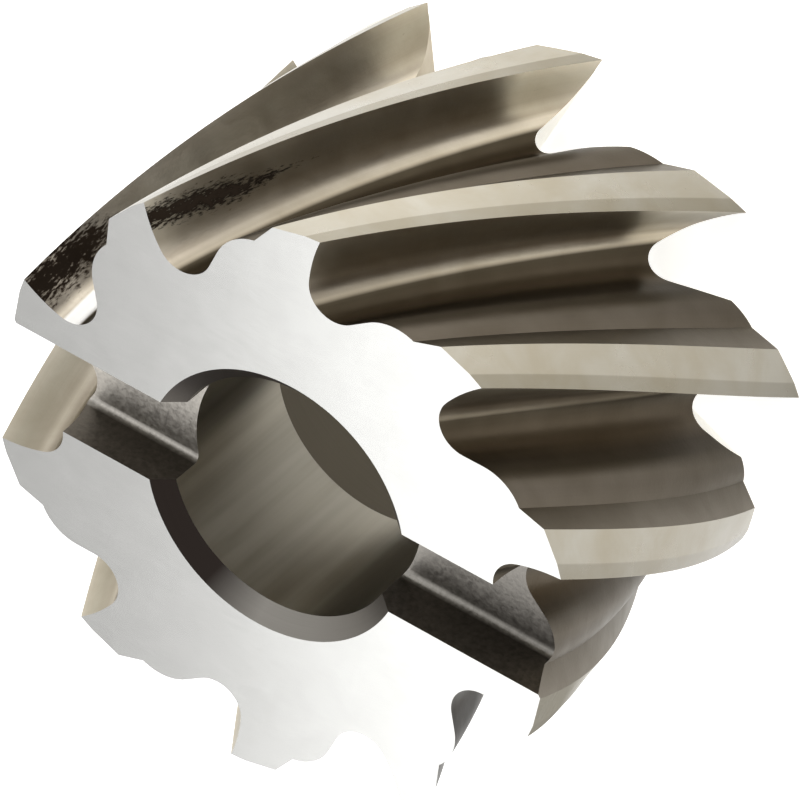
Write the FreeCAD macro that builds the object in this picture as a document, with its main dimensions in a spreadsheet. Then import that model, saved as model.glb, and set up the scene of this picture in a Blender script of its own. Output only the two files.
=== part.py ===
import FreeCAD, Part
import math
import os

import Sketcher
from FreeCAD import Placement, Vector

# Shell end mill, in millimetres. One solid piece of high-speed steel.
# The origin is on the axis, in the plane of the end-tooth tips, and +Z points to the slotted rear face.

SIZES = [
    # Body
    ("cutter_diameter", 63.5),
    ("cutter_width", 41.275),
    ("bore_diameter", 25.4),
    ("bore_length", 19.05),
    ("mouth_chamfer", 1.75),
    ("counterbore_diameter", 34.925),
    # Drive slot across the rear face
    ("slot_width", 9.525),
    ("slot_depth", 5.6),
    ("slot_corner_radius", 0.8),
    # Helix and spacing of the teeth
    ("teeth_count", 10),
    ("helix_lead", 345.516),
    ("tooth_phase", 17.2),
    # Tooth form in the transverse section
    ("rake_angle", 14),
    ("rake_radius", 15.5),
    ("gullet_depth", 7.56),
    ("gullet_radius", 3.07),
    ("margin_width", 0.1),
    ("primary_width", 1.6),
    ("primary_relief", 7),
    ("land_width", 5.04),
    ("secondary_relief", 15.7),
    ("step_length", 2.98),
    ("step_angle", 33.4),
    ("ramp_angle", 37.4),
    ("shoulder_radius", 5),
    # End teeth
    ("dish_angle", 1.5),
    ("end_relief", 17),
    ("gash_radial_rake", 10.8),
    ("gash_axial_rake", 2),
    ("gash_depth", 10.5),
    ("gash_tilt", 25),
    ("gash_radius", 1.8),
    ("gash_back_angle", 47),
    # How far each cutting tool starts and ends outside the blank, for a clean cut
    ("run_out", 3),
]

doc = FreeCAD.newDocument("shell_end_mill")
sheet = doc.addObject("Spreadsheet::Sheet", "sizes")
for row, (alias, number) in enumerate(SIZES, start=1):
    sheet.set("A%d" % row, alias)
    sheet.set("B%d" % row, str(number))
    sheet.setAlias("B%d" % row, alias)
doc.recompute()

body = doc.addObject("PartDesign::Body", "shell_end_mill")
body.Label = "shell_end_mill"
body.Placement = Placement()


def origin_part(role):
    """One of the body's own planes or axes."""
    return [item for item in body.Origin.OriginFeatures if item.Role == role][0]


def value(text):
    """The number that an expression on the sheet gives."""
    return float(body.evalExpression(text))


def point(pair):
    return Vector(value(pair[0]), value(pair[1]), 0)


def new_sketch(name, role):
    sketch = body.newObject("Sketcher::SketchObject", name)
    sketch.AttachmentSupport = [(origin_part(role), "")]
    sketch.MapMode = "FlatFace"
    return sketch


def place_sketch(sketch, position, rotation):
    """Moves and turns a sketch off its plane, tied to the sheet: all are expressions."""
    offset = "placement(vector(%s; %s; %s); %s)" % (position + (rotation,))
    sketch.setExpression("AttachmentOffset", offset)


def bend(start, centre, end):
    """An arc from start to end that stays on their side of the centre."""
    middle = (start + end) * 0.5 - centre
    middle = centre + middle * ((start - centre).Length / middle.Length)
    return Part.Arc(start, middle, end)


def add_outline(sketch, pieces, smooth=()):
    """Adds a closed chain and joins each piece to the next, tangent where its number is in smooth.

    Returns the start and end vertex number of each piece.
    """
    ends = []
    for piece, first in pieces:
        index = sketch.addGeometry(piece, False)
        forward = (sketch.getPoint(index, 1) - first).Length < 1e-6
        ends.append((1, 2) if forward else (2, 1))
    for index in range(len(ends)):
        after = (index + 1) % len(ends)
        kind = "Tangent" if index in smooth else "Coincident"
        sketch.addConstraint(Sketcher.Constraint(kind, index, ends[index][1], after, ends[after][0]))
    return ends


def bind(sketch, constraint, text):
    """Adds a dimension and ties it to the sheet."""
    index = sketch.addConstraint(constraint)
    name = "size_%d" % index
    sketch.renameConstraint(index, name)
    sketch.setExpression("Constraints." + name, text)


def pin(sketch, index, vertex, pair):
    """Holds a point at the two given distances from the sketch's origin."""
    x, y = point(pair).x, point(pair).y
    bind(sketch, Sketcher.Constraint("DistanceX", -1, 1, index, vertex, x), pair[0])
    bind(sketch, Sketcher.Constraint("DistanceY", -1, 1, index, vertex, y), pair[1])


def pinned_polygon(sketch, corners):
    """A closed polygon whose corners are all tied to the sheet."""
    spots = [point(pair) for pair in corners]
    pieces = []
    for index, spot in enumerate(spots):
        after = spots[(index + 1) % len(spots)]
        pieces.append((Part.LineSegment(spot, after), spot))
    ends = add_outline(sketch, pieces)
    for index, pair in enumerate(corners):
        pin(sketch, index, ends[index][0], pair)


RADIUS = "sizes.cutter_diameter / 2"
PITCH = "(360 / sizes.teeth_count)"
BORE_RADIUS = "sizes.bore_diameter / 2"
RECESS_RADIUS = "sizes.counterbore_diameter / 2"
RECESS_DEPTH = "(sizes.cutter_width - sizes.bore_length)"


def make_blank():
    """The turned blank: bore, rear mouth chamfer, front counterbore and the slightly dished front."""
    sketch = new_sketch("blank_section", "XZ_Plane")
    dish = "(%s - %s) * tan(sizes.dish_angle)" % (RADIUS, RECESS_RADIUS)
    pinned_polygon(sketch, [
        (BORE_RADIUS, RECESS_DEPTH),
        (RECESS_RADIUS, RECESS_DEPTH),
        (RECESS_RADIUS, dish),
        (RADIUS, "0"),
        (RADIUS, "sizes.cutter_width"),
        (BORE_RADIUS + " + sizes.mouth_chamfer", "sizes.cutter_width"),
        (BORE_RADIUS, "sizes.cutter_width - sizes.mouth_chamfer"),
    ])
    doc.recompute()
    blank = body.newObject("PartDesign::Revolution", "blank")
    blank.Profile = sketch
    blank.ReferenceAxis = (sketch, ["V_Axis"])
    blank.Angle = 360
    blank.Refine = False
    doc.recompute()
    return blank


def rotated_to_next(pair):
    """A point given in the next tooth's own frame, seen from this tooth's frame."""
    x, y = pair
    return ("(%s) * cos(%s) + (%s) * sin(%s)" % (x, PITCH, y, PITCH),
            "(%s) * cos(%s) - (%s) * sin(%s)" % (y, PITCH, x, PITCH))


def make_flute_section():
    """The gap between two teeth, from this tooth's hooked face to the next tooth's land.

    This tooth's tip is on the sketch's vertical axis and the gap lies towards its horizontal axis.
    """
    sketch = new_sketch("flute_section", "XY_Plane")
    turn = "sizes.tooth_phase - 90 - 360 * (sizes.cutter_width + sizes.run_out) / sizes.helix_lead"
    place_sketch(sketch, ("0", "0", "-sizes.run_out"), "rotation(%s; 0; 0)" % turn)

    rake_centre = ("sizes.rake_radius * cos(sizes.rake_angle)",
                   "%s - sizes.rake_radius * sin(sizes.rake_angle)" % RADIUS)
    gullet_reach = "%s - sizes.gullet_depth + sizes.gullet_radius" % RADIUS

    # Land of the next tooth, in its own frame: margin, primary relief, secondary relief, short step
    margin_x = "-sizes.margin_width"
    margin_y = "sqrt((%s)^2 - sizes.margin_width^2)" % RADIUS
    primary_y = "(%s - (sizes.primary_width - sizes.margin_width) * tan(sizes.primary_relief))" % margin_y
    over_y = "(%s + sizes.margin_width / 2 * tan(sizes.primary_relief))" % margin_y
    heel_y = ("(%s - (sizes.land_width - sizes.primary_width) * tan(sizes.secondary_relief))"
              % primary_y)
    corner_x = "(-sizes.land_width - sizes.step_length * sin(sizes.step_angle))"
    corner_y = "(%s - sizes.step_length * cos(sizes.step_angle))" % heel_y
    over = rotated_to_next(("%s / 2" % margin_x, over_y))
    primary = rotated_to_next(("-sizes.primary_width", primary_y))
    heel = rotated_to_next(("-sizes.land_width", heel_y))
    corner = rotated_to_next((corner_x, corner_y))
    rim = "(%s + sizes.run_out)" % RADIUS
    rim_far = rotated_to_next(("%s / 2" % margin_x, "sqrt(%s^2 - sizes.margin_width^2 / 4)" % rim))

    # Where the arcs meet, from the centres. The ramp rises from the gullet to the shoulder's arc, which
    # ends at the corner below the step.
    c1 = point(rake_centre)
    r1, r2, r3 = (value("sizes." + name) for name in ("rake_radius", "gullet_radius", "shoulder_radius"))
    reach = value(gullet_reach)
    along = (reach ** 2 - (r1 - r2) ** 2 + c1.Length ** 2) / (2 * c1.Length)
    across = math.sqrt(reach ** 2 - along ** 2)
    unit = c1 * (1 / c1.Length)
    c2 = unit * along + Vector(-unit.y, unit.x, 0) * across
    rake_end = c1 + (c2 - c1) * (r1 / (c2 - c1).Length)
    ramp_angle = math.radians(value("sizes.ramp_angle"))
    uphill = Vector(math.cos(ramp_angle), math.sin(ramp_angle), 0)
    below = Vector(math.sin(ramp_angle), -math.cos(ramp_angle), 0)
    level = below * c2 + r2 + r3
    foot = point(corner)
    c3 = below * level + uphill * (uphill * foot - math.sqrt(r3 ** 2 - (level - below * foot) ** 2))
    line_start = c2 + below * r2
    line_end = c3 - below * r3
    top = value("%s + sizes.run_out / 2" % RADIUS)
    rake_start = Vector(c1.x - math.sqrt(r1 ** 2 - (top - c1.y) ** 2), top, 0)
    rim_near = Vector(rake_start.x, math.sqrt(value(rim) ** 2 - rake_start.x ** 2), 0)

    spots = [point(pair) for pair in (corner, heel, primary, over, rim_far)]
    pieces = [
        (bend(rake_start, c1, rake_end), rake_start),
        (bend(rake_end, c2, line_start), rake_end),
        (Part.LineSegment(line_start, line_end), line_start),
        (bend(line_end, c3, spots[0]), line_end),
        (Part.LineSegment(spots[0], spots[1]), spots[0]),
        (Part.LineSegment(spots[1], spots[2]), spots[1]),
        (Part.LineSegment(spots[2], spots[3]), spots[2]),
        (Part.LineSegment(spots[3], spots[4]), spots[3]),
        (bend(spots[4], Vector(0, 0, 0), rim_near), spots[4]),
        (Part.LineSegment(rim_near, rake_start), rim_near),
    ]
    ends = add_outline(sketch, pieces, smooth=(0, 1, 2))

    pin(sketch, 0, 3, rake_centre)
    bind(sketch, Sketcher.Constraint("Radius", 0, r1), "sizes.rake_radius")
    bind(sketch, Sketcher.Constraint("DistanceY", -1, 1, 0, ends[0][0], top),
         "%s + sizes.run_out / 2" % RADIUS)
    bind(sketch, Sketcher.Constraint("Radius", 1, r2), "sizes.gullet_radius")
    bind(sketch, Sketcher.Constraint("Distance", -1, 1, 1, 3, reach), gullet_reach)
    bind(sketch, Sketcher.Constraint("Angle", 2, ramp_angle), "sizes.ramp_angle * 1 deg")
    bind(sketch, Sketcher.Constraint("Radius", 3, r3), "sizes.shoulder_radius")
    for index, pair in ((4, corner), (5, heel), (6, primary), (7, over), (8, rim_far)):
        pin(sketch, index, ends[index][0], pair)
    sketch.addConstraint(Sketcher.Constraint("Coincident", 8, 3, -1, 1))
    sketch.addConstraint(Sketcher.Constraint("Vertical", 9))
    doc.recompute()
    return sketch


def pattern_round(name, originals):
    """Repeats features once for each tooth."""
    copies = body.newObject("PartDesign::PolarPattern", name)
    copies.Originals = originals
    copies.Axis = (origin_part("Z_Axis"), [""])
    copies.Angle = 360
    copies.setExpression("Occurrences", "sizes.teeth_count")
    copies.Refine = False
    body.Tip = copies
    doc.recompute()
    return copies


def make_flutes():
    """Right-hand helical flutes along the whole width."""
    section = make_flute_section()
    flute = body.newObject("PartDesign::SubtractiveHelix", "flute")
    flute.Profile = section
    flute.ReferenceAxis = (origin_part("Z_Axis"), [""])
    flute.Mode = 0
    flute.setExpression("Pitch", "sizes.helix_lead")
    flute.setExpression("Height", "sizes.cutter_width + 2 * sizes.run_out")
    flute.LeftHanded = False
    flute.Refine = False
    doc.recompute()
    return pattern_round("flutes", [flute])


# Directions of the first end tooth's tip from the axis, and of its cutting edge, at the cutting end
TIP_TURN = "(sizes.tooth_phase - 360 * sizes.cutter_width / sizes.helix_lead)"
EDGE_TURN = "(%s - sizes.gash_radial_rake)" % TIP_TURN
# How far the end cuts reach inwards from the tips: into the counterbore
END_REACH = "(%s - %s / 2)" % (RADIUS, RECESS_RADIUS)


def make_end_relief():
    """The clearance flat behind each end cutting edge, following the dished end.

    Its sketch lies in that flat with its origin at the tip, its horizontal axis pointing ahead of the
    tooth and its vertical axis inwards along the edge. It covers the wedge as far as the next gash.
    """
    sketch = new_sketch("end_relief_section", "XY_Plane")
    tip = ("%s * cos(%s)" % (RADIUS, TIP_TURN), "%s * sin(%s)" % (RADIUS, TIP_TURN), "0")
    upright = "rotation(%s - 90; 0; 90 - sizes.dish_angle)" % EDGE_TURN
    place_sketch(sketch, tip, upright + " * rotation(-sizes.end_relief; 0; 90)")
    axis_x = "%s * sin(sizes.gash_radial_rake)" % RADIUS
    axis_y = "%s * cos(sizes.gash_radial_rake)" % RADIUS

    def at_next_gash(inwards):
        """A point over the root of the next tooth's gash, that far inwards of its tip."""
        x = "(sizes.gash_radius - %s)" % axis_x
        y = "(%s - %s)" % (inwards, axis_y)
        return ("%s + %s * cos(%s) + %s * sin(%s)" % (axis_x, x, PITCH, y, PITCH),
                "%s + %s * cos(%s) - %s * sin(%s)" % (axis_y, y, PITCH, x, PITCH))

    outside = "-(%s) / 2" % RADIUS
    pinned_polygon(sketch, [
        ("sizes.run_out", outside),
        ("sizes.run_out", END_REACH),
        at_next_gash(END_REACH),
        at_next_gash(outside),
    ])
    return cut_along_normal("end_relief", sketch, "%s * tan(sizes.end_relief) + sizes.run_out" % RADIUS)


def make_gash():
    """The rounded notch ahead of each end cutting edge. Its root rises towards the rim.

    Its sketch stands outside the rim, square to the notch, with its horizontal axis pointing ahead of the
    tooth and its vertical axis towards the rear face. The origin is on the line of the edge.
    """
    sketch = new_sketch("gash_section", "XY_Plane")
    level = "sizes.run_out * cos(sizes.gash_tilt)"
    place_sketch(sketch, (
        "%s * cos(%s) + %s * cos(%s)" % (RADIUS, TIP_TURN, level, EDGE_TURN),
        "%s * sin(%s) + %s * sin(%s)" % (RADIUS, TIP_TURN, level, EDGE_TURN),
        "sizes.run_out * sin(sizes.gash_tilt)",
    ), "rotation(%s - 90; 0; 90 + sizes.gash_tilt)" % EDGE_TURN)

    rake = "sizes.gash_axial_rake"
    back = "sizes.gash_back_angle"
    radius = "sizes.gash_radius"
    root = "(sizes.gash_depth * cos(sizes.gash_tilt))"
    foot = "(-%s - sizes.run_out)" % root
    centre_y = "(%s - %s)" % (root, radius)
    centre_x = "(%s / cos(%s) - %s * tan(%s))" % (radius, rake, centre_y, rake)
    wall_top = ("%s - %s * cos(%s)" % (centre_x, radius, rake),
                "%s - %s * sin(%s)" % (centre_y, radius, rake))
    back_top = ("%s + %s * sin(%s)" % (centre_x, radius, back),
                "%s + %s * cos(%s)" % (centre_y, radius, back))
    wall_foot = ("-%s * tan(%s)" % (foot, rake), foot)
    back_foot = ("%s + (%s - %s) / tan(%s)" % (back_top[0], back_top[1], foot, back), foot)

    pairs = [wall_foot, wall_top, back_top, back_foot]
    spots = [point(pair) for pair in pairs]
    pieces = [
        (Part.LineSegment(spots[0], spots[1]), spots[0]),
        (bend(spots[1], point((centre_x, centre_y)), spots[2]), spots[1]),
        (Part.LineSegment(spots[2], spots[3]), spots[2]),
        (Part.LineSegment(spots[3], spots[0]), spots[3]),
    ]
    ends = add_outline(sketch, pieces)
    for index, pair in enumerate(pairs):
        pin(sketch, index, ends[index][0], pair)
    bind(sketch, Sketcher.Constraint("Radius", 1, value(radius)), radius)
    return cut_along_normal("gash", sketch, "%s + sizes.run_out" % END_REACH)


def cut_along_normal(name, sketch, length):
    """Cuts a section away from its sketch, along the sketch's normal."""
    doc.recompute()
    pocket = body.newObject("PartDesign::Pocket", name)
    pocket.Profile = sketch
    pocket.Type = 0
    pocket.setExpression("Length", length)
    pocket.Reversed = True
    pocket.Refine = False
    doc.recompute()
    return pocket


def make_drive_slot():
    """The square-bottomed slot straight across the rear face."""
    sketch = new_sketch("slot_section", "YZ_Plane")
    half = "sizes.slot_width / 2"
    floor = "sizes.cutter_width - sizes.slot_depth"
    radius = "sizes.slot_corner_radius"
    top = "sizes.cutter_width + sizes.run_out"
    pairs = [
        ("-(%s)" % half, top),
        ("-(%s)" % half, "%s + %s" % (floor, radius)),
        ("-(%s) + %s" % (half, radius), floor),
        ("%s - %s" % (half, radius), floor),
        (half, "%s + %s" % (floor, radius)),
        (half, top),
    ]
    spots = [point(pair) for pair in pairs]
    low_centre = Vector(spots[2].x, spots[1].y, 0)
    high_centre = Vector(spots[3].x, spots[4].y, 0)
    pieces = [
        (Part.LineSegment(spots[0], spots[1]), spots[0]),
        (bend(spots[1], low_centre, spots[2]), spots[1]),
        (Part.LineSegment(spots[2], spots[3]), spots[2]),
        (bend(spots[3], high_centre, spots[4]), spots[3]),
        (Part.LineSegment(spots[4], spots[5]), spots[4]),
        (Part.LineSegment(spots[5], spots[0]), spots[5]),
    ]
    ends = add_outline(sketch, pieces)
    for index, pair in enumerate(pairs):
        pin(sketch, index, ends[index][0], pair)
    for index in (1, 3):
        bind(sketch, Sketcher.Constraint("Radius", index, value(radius)), radius)
    doc.recompute()
    slot = body.newObject("PartDesign::Pocket", "drive_slot")
    slot.Profile = sketch
    slot.Type = 0
    slot.Midplane = True
    slot.setExpression("Length", "sizes.cutter_diameter + 2 * sizes.run_out")
    slot.Refine = False
    body.Tip = slot
    doc.recompute()
    return slot


blank = make_blank()
print("blank %.1f mm3" % blank.Shape.Volume)
flutes = make_flutes()
print("fluted %.1f mm3" % flutes.Shape.Volume)
relief = make_end_relief()
print("relief %.1f mm3" % relief.Shape.Volume)
gash = make_gash()
print("gash %.1f mm3" % gash.Shape.Volume)
ends_cut = pattern_round("end_teeth", [relief, gash])
print("end teeth %.1f mm3" % ends_cut.Shape.Volume)
slot = make_drive_slot()
print("slotted %.1f mm3" % slot.Shape.Volume)

# Each cut must take metal away
stages = [blank, flutes, relief, gash, ends_cut, slot]
for before, after in zip(stages, stages[1:]):
    if not after.Shape.Volume < before.Shape.Volume - 1:
        raise RuntimeError(after.Name + " cut nothing")

for item in doc.Objects:
    if "Invalid" in item.State or "Error" in item.State:
        raise RuntimeError("%s failed: %s" % (item.Name, item.State))

shape = body.Shape
if shape.isNull() or not shape.isValid() or len(shape.Solids) != 1:
    raise RuntimeError("the cutter is not one valid solid")

os.makedirs("parts", exist_ok=True)
shape.exportStep("parts/%s.step" % body.Label)
box = shape.BoundBox
print("%s: %d faces, %.1f mm3, box %.3f..%.3f, %.3f..%.3f, %.3f..%.3f"
      % (body.Label, len(shape.Faces), shape.Volume, box.XMin, box.XMax, box.YMin, box.YMax,
         box.ZMin, box.ZMax))
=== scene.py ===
import math

import bmesh
import bpy
import numpy as np
from mathutils import Matrix, Quaternion, Vector


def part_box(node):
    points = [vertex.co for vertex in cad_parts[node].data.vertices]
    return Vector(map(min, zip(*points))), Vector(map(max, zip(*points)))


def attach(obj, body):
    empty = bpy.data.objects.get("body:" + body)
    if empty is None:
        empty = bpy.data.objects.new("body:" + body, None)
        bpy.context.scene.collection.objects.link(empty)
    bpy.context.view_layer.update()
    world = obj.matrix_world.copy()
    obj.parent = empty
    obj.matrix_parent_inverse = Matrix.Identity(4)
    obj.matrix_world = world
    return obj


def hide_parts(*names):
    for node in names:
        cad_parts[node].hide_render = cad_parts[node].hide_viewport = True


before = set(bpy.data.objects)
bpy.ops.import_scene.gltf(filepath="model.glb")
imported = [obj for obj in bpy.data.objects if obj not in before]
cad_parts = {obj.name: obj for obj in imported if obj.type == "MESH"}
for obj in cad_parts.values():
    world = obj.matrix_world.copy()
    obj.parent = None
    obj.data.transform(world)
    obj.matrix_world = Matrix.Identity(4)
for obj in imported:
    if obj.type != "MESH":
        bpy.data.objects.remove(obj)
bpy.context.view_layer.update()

# Shell end mill: one ground and milled steel ring, standing on its end teeth with the slotted rear face up.
# All places are in metres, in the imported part's own frame. The section's sizes are given in millimetres.

BODY = "root"
NODE = "shell_end_mill"
MM = 0.001

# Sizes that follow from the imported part
low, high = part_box(NODE)
RADIUS = (high.x - low.x) / 2 / MM
WIDTH = (high.z - low.z) / MM

# Body, in millimetres
BORE_RADIUS = 12.7
BORE_LENGTH = 19.05
MOUTH_CHAMFER = 1.75
RECESS_RADIUS = 17.4625
SLOT_WIDTH = 9.525
SLOT_DEPTH = 5.6
SLOT_CORNER = 0.8

# Helix and tooth form, in millimetres and degrees
TEETH = 10
LEAD = 345.516
TOOTH_PHASE = 17.2
RAKE_ANGLE = 14
RAKE_RADIUS = 15.5
GULLET_DEPTH = 7.56
GULLET_RADIUS = 3.07
MARGIN_WIDTH = 0.1
PRIMARY_WIDTH = 1.6
PRIMARY_RELIEF = 7
LAND_WIDTH = 5.04
SECONDARY_RELIEF = 15.7
STEP_LENGTH = 2.98
STEP_ANGLE = 33.4
RAMP_ANGLE = 37.4
SHOULDER_RADIUS = 5

# End teeth, in millimetres and degrees
DISH_ANGLE = 1.5
END_RELIEF = 17
GASH_RADIAL_RAKE = 10.8
GASH_AXIAL_RAKE = 2
GASH_DEPTH = 10.5
GASH_TILT = 25
GASH_RADIUS = 1.8
GASH_BACK_ANGLE = 47
RUN_OUT = 3

# Fineness of the mesh
LEVELS = 72
RING_STEPS = 192

# How the mesh's faces are told apart: how far off its surface a face may lie and how far past an edge, in
# millimetres, how upright the normal of a level face is, and the crease in degrees that is shaded crisp
OFF_SURFACE = 0.03
PAST_EDGE = 0.01
LEVEL_NORMAL = 0.99
SLOPED_NORMAL = 0.3
CREASE = 24

PITCH = 360 / TEETH
TWIST = 360 * WIDTH / LEAD
TIP_TURN = TOOTH_PHASE - TWIST
EDGE_TURN = TIP_TURN - GASH_RADIAL_RAKE
END_REACH = RADIUS - RECESS_RADIUS / 2

# Black stains near the rear face. For each, the tooth's turn in degrees. Then, in shares across the gap,
# the middle, its drift per millimetre of depth and the half width. Last, the depths in millimetres where
# it starts and stops fading.
STAINS = [
    (125.2, 0.062, 0.0055, 0.052, 7.0, 17.0),
    (161.2, 0.052, 0.0020, 0.095, 6.0, 12.0),
]
STAIN_DRIFT_DEPTH = 9
STAIN_COLOUR = (0.014, 0.010, 0.007)

# Brown film round the wider stain. The middle, half width and soft edge are in shares across the gap, and
# the depths in millimetres.
FILM_TURN = 161.2
FILM_MIDDLE = 0.03
FILM_HALF = 0.12
FILM_EDGE = 0.05
FILM_DEPTH = 7
FILM_FADE = 18
FILM_COLOUR = (0.050, 0.044, 0.038)

# Painted highlight: a white glint in the gullet beside that film, measured in the same way
PAINTED_GLINT_MIDDLE = 0.232
PAINTED_GLINT_HALF = 0.028
PAINTED_GLINT_EDGE = 0.012
PAINTED_GLINT_DEPTH = 6
PAINTED_GLINT_FADE = 1.5
PAINTED_GLINT_COLOUR = (0.97, 0.96, 0.94)

# Painted shadow on one tooth near the rear face, and in the gap ahead of it: turns in degrees, depths in
# millimetres
SHADOWED_TOOTH_TURN = -18.8
SHADOWED_GAP_TURN = -31.6
SHADOWED_GAP_HALF = 14.6
SHADOWED_DEPTH = 8
SHADOWED_FADE = 12

# Half the turn that one tooth and the rake ahead of it take up, in degrees
TOOTH_HALF = 14

# Where the painted highlight line runs along the gullet, in shares across the gap
PAINTED_HIGHLIGHT_LINE = 0.235

# The photograph's camera, in millimetres of lens and sensor, metres and degrees
FOCAL_LENGTH = 305.1
SENSOR = 36
CAMERA_PLACE = Vector((0.23138, 0.40823, 0.45715))
CAMERA_AIM = Vector((0.00013, 0.00005, 0.02052))
CAMERA_ROLL = -130.54


def sin(degrees):
    """The sine of an angle in degrees."""
    return math.sin(math.radians(degrees))


def cos(degrees):
    """The cosine of an angle in degrees."""
    return math.cos(math.radians(degrees))


def tan(degrees):
    """The tangent of an angle in degrees."""
    return math.tan(math.radians(degrees))


def arc(centre, start, end, steps):
    """Points of the shorter arc from start to end round a centre, without its last point."""
    first = math.atan2(start.y - centre.y, start.x - centre.x)
    last = math.atan2(end.y - centre.y, end.x - centre.x)
    sweep = (last - first + math.pi) % (2 * math.pi) - math.pi
    radius = (start - centre).length
    turns = [first + sweep * step / steps for step in range(steps)]
    return [centre + radius * Vector((math.cos(turn), math.sin(turn))) for turn in turns]


def straight(start, end, steps):
    """Evenly spaced points from start towards end, without the end."""
    return [start.lerp(end, step / steps) for step in range(steps)]


def next_tooth(x, y):
    """A point of the next tooth's frame, seen from this tooth's frame."""
    return Vector((x * cos(PITCH) + y * sin(PITCH), y * cos(PITCH) - x * sin(PITCH)))


def gap_outline():
    """One gap between teeth, tip to tip, and where each kind of surface starts along it.

    This tooth's tip is on the Y axis and the gap lies towards +X.
    """
    rake_centre = Vector((RAKE_RADIUS * cos(RAKE_ANGLE), RADIUS - RAKE_RADIUS * sin(RAKE_ANGLE)))
    reach = RADIUS - GULLET_DEPTH + GULLET_RADIUS
    far = rake_centre.length
    along = (reach ** 2 - (RAKE_RADIUS - GULLET_RADIUS) ** 2 + far ** 2) / (2 * far)
    across = math.sqrt(reach ** 2 - along ** 2)
    unit = rake_centre.normalized()
    gullet_centre = unit * along + Vector((-unit.y, unit.x)) * across
    rake_end = rake_centre + (gullet_centre - rake_centre).normalized() * RAKE_RADIUS

    margin_y = math.sqrt(RADIUS ** 2 - MARGIN_WIDTH ** 2)
    primary_y = margin_y - (PRIMARY_WIDTH - MARGIN_WIDTH) * tan(PRIMARY_RELIEF)
    heel_y = primary_y - (LAND_WIDTH - PRIMARY_WIDTH) * tan(SECONDARY_RELIEF)
    corner_x = -LAND_WIDTH - STEP_LENGTH * sin(STEP_ANGLE)
    corner_y = heel_y - STEP_LENGTH * cos(STEP_ANGLE)
    corner = next_tooth(corner_x, corner_y)

    # The ramp rises from the gullet to the shoulder's arc, which ends at the corner below the step
    uphill = Vector((cos(RAMP_ANGLE), sin(RAMP_ANGLE)))
    below = Vector((sin(RAMP_ANGLE), -cos(RAMP_ANGLE)))
    level = below.dot(gullet_centre) + GULLET_RADIUS + SHOULDER_RADIUS
    rise = math.sqrt(SHOULDER_RADIUS ** 2 - (level - below.dot(corner)) ** 2)
    shoulder_centre = below * level + uphill * (uphill.dot(corner) - rise)
    ramp_start = gullet_centre + below * GULLET_RADIUS
    ramp_end = shoulder_centre - below * SHOULDER_RADIUS

    tip = Vector((0, RADIUS))
    heel = next_tooth(-LAND_WIDTH, heel_y)
    primary = next_tooth(-PRIMARY_WIDTH, primary_y)
    margin = next_tooth(-MARGIN_WIDTH, margin_y)
    stretches = [
        ("rake", arc(rake_centre, tip, rake_end, 14)),
        ("gullet", arc(gullet_centre, rake_end, ramp_start, 18)),
        ("ramp", straight(ramp_start, ramp_end, 4)),
        ("shoulder", arc(shoulder_centre, ramp_end, corner, 12)),
        ("step", straight(corner, heel, 3)),
        ("secondary", straight(heel, primary, 4)),
        ("primary", straight(primary, margin, 2)),
        ("margin", [margin]),
    ]
    points = [spot for name, spots in stretches for spot in spots]
    names = [name for name, spots in stretches for spot in spots]
    return points + [next_tooth(0, RADIUS)], names


def mesh_object(name, spots, faces=(), edges=()):
    """A mesh object at the origin. Its points are given in millimetres."""
    mesh = bpy.data.meshes.new(name)
    mesh.from_pydata([tuple(c * MM for c in spot) for spot in spots], list(edges), list(faces))
    mesh.update()
    made = bpy.data.objects.new(name, mesh)
    bpy.context.scene.collection.objects.link(made)
    return made


def prism(name, outline, placing, length):
    """A closed prism: an outline in its own plane, pushed along that plane's normal."""
    count = len(outline)
    near = [placing @ Vector((spot.x, spot.y, 0)) for spot in outline]
    far = [placing @ Vector((spot.x, spot.y, length)) for spot in outline]
    sides = [(i, (i + 1) % count, (i + 1) % count + count, i + count) for i in range(count)]
    caps = [tuple(reversed(range(count))), tuple(range(count, 2 * count))]
    made = mesh_object(name, near + far, sides + caps)
    return outward(made)


def outward(made):
    """Turns a closed mesh's faces outwards."""
    shell = bmesh.new()
    shell.from_mesh(made.data)
    bmesh.ops.recalc_face_normals(shell, faces=shell.faces)
    shell.to_mesh(made.data)
    shell.free()
    return made


def make_bore_tool():
    """The turned hollow: counterbore, bore and mouth chamfer, and the dish of the front face."""
    floor = WIDTH - BORE_LENGTH
    over = WIDTH + RUN_OUT
    dish = (RADIUS + RUN_OUT - RECESS_RADIUS) * tan(DISH_ANGLE)
    below = -RUN_OUT * tan(DISH_ANGLE)
    profile = [
        (RADIUS + RUN_OUT, -RUN_OUT),
        (RADIUS + RUN_OUT, below),
        (RECESS_RADIUS, below + dish),
        (RECESS_RADIUS, floor),
        (BORE_RADIUS, floor),
        (BORE_RADIUS, WIDTH - MOUTH_CHAMFER),
        (BORE_RADIUS + MOUTH_CHAMFER + RUN_OUT, over),
    ]
    spots = []
    for step in range(RING_STEPS):
        turn = 360 * step / RING_STEPS
        spots += [(radius * cos(turn), radius * sin(turn), height) for radius, height in profile]
    count = len(profile)
    faces = []
    for step in range(RING_STEPS):
        here = step * count
        there = (step + 1) % RING_STEPS * count
        faces += [(here + i, there + i, there + i + 1, here + i + 1) for i in range(count - 1)]
    faces.append(tuple(step * count for step in range(RING_STEPS)))
    faces.append(tuple(step * count + count - 1 for step in range(RING_STEPS)))
    return outward(mesh_object("bore_tool", spots, faces))


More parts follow.
